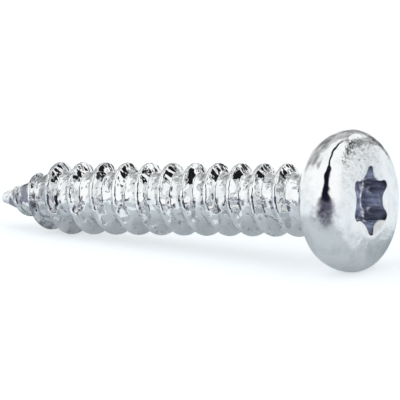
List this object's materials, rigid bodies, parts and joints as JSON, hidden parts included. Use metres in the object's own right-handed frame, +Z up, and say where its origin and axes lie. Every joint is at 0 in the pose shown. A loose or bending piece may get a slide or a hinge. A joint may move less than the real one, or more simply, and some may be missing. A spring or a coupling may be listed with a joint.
{
  "type": "sheet metal screw",
  "caption": "Pan head sheet metal screw with a six-lobe drive recess, coarse right-hand self-tapping thread and cone point, zinc-plated steel.",
  "frame": {"origin": "middle of the footprint of the screw lying on its side, on the surface it rests on", "axes": "+Z up; the screw's axis lies in the XZ plane with the head towards +X and tips 5.85 degrees down towards the point at -X"},
  "size_m": [0.0212, 0.0068, 0.0067],
  "materials": {
    "zinc_plated_steel": "bright zinc plating"
  },
  "bodies": {
    "root": {"screw": "zinc_plated_steel"}
  },
  "joints": []
}
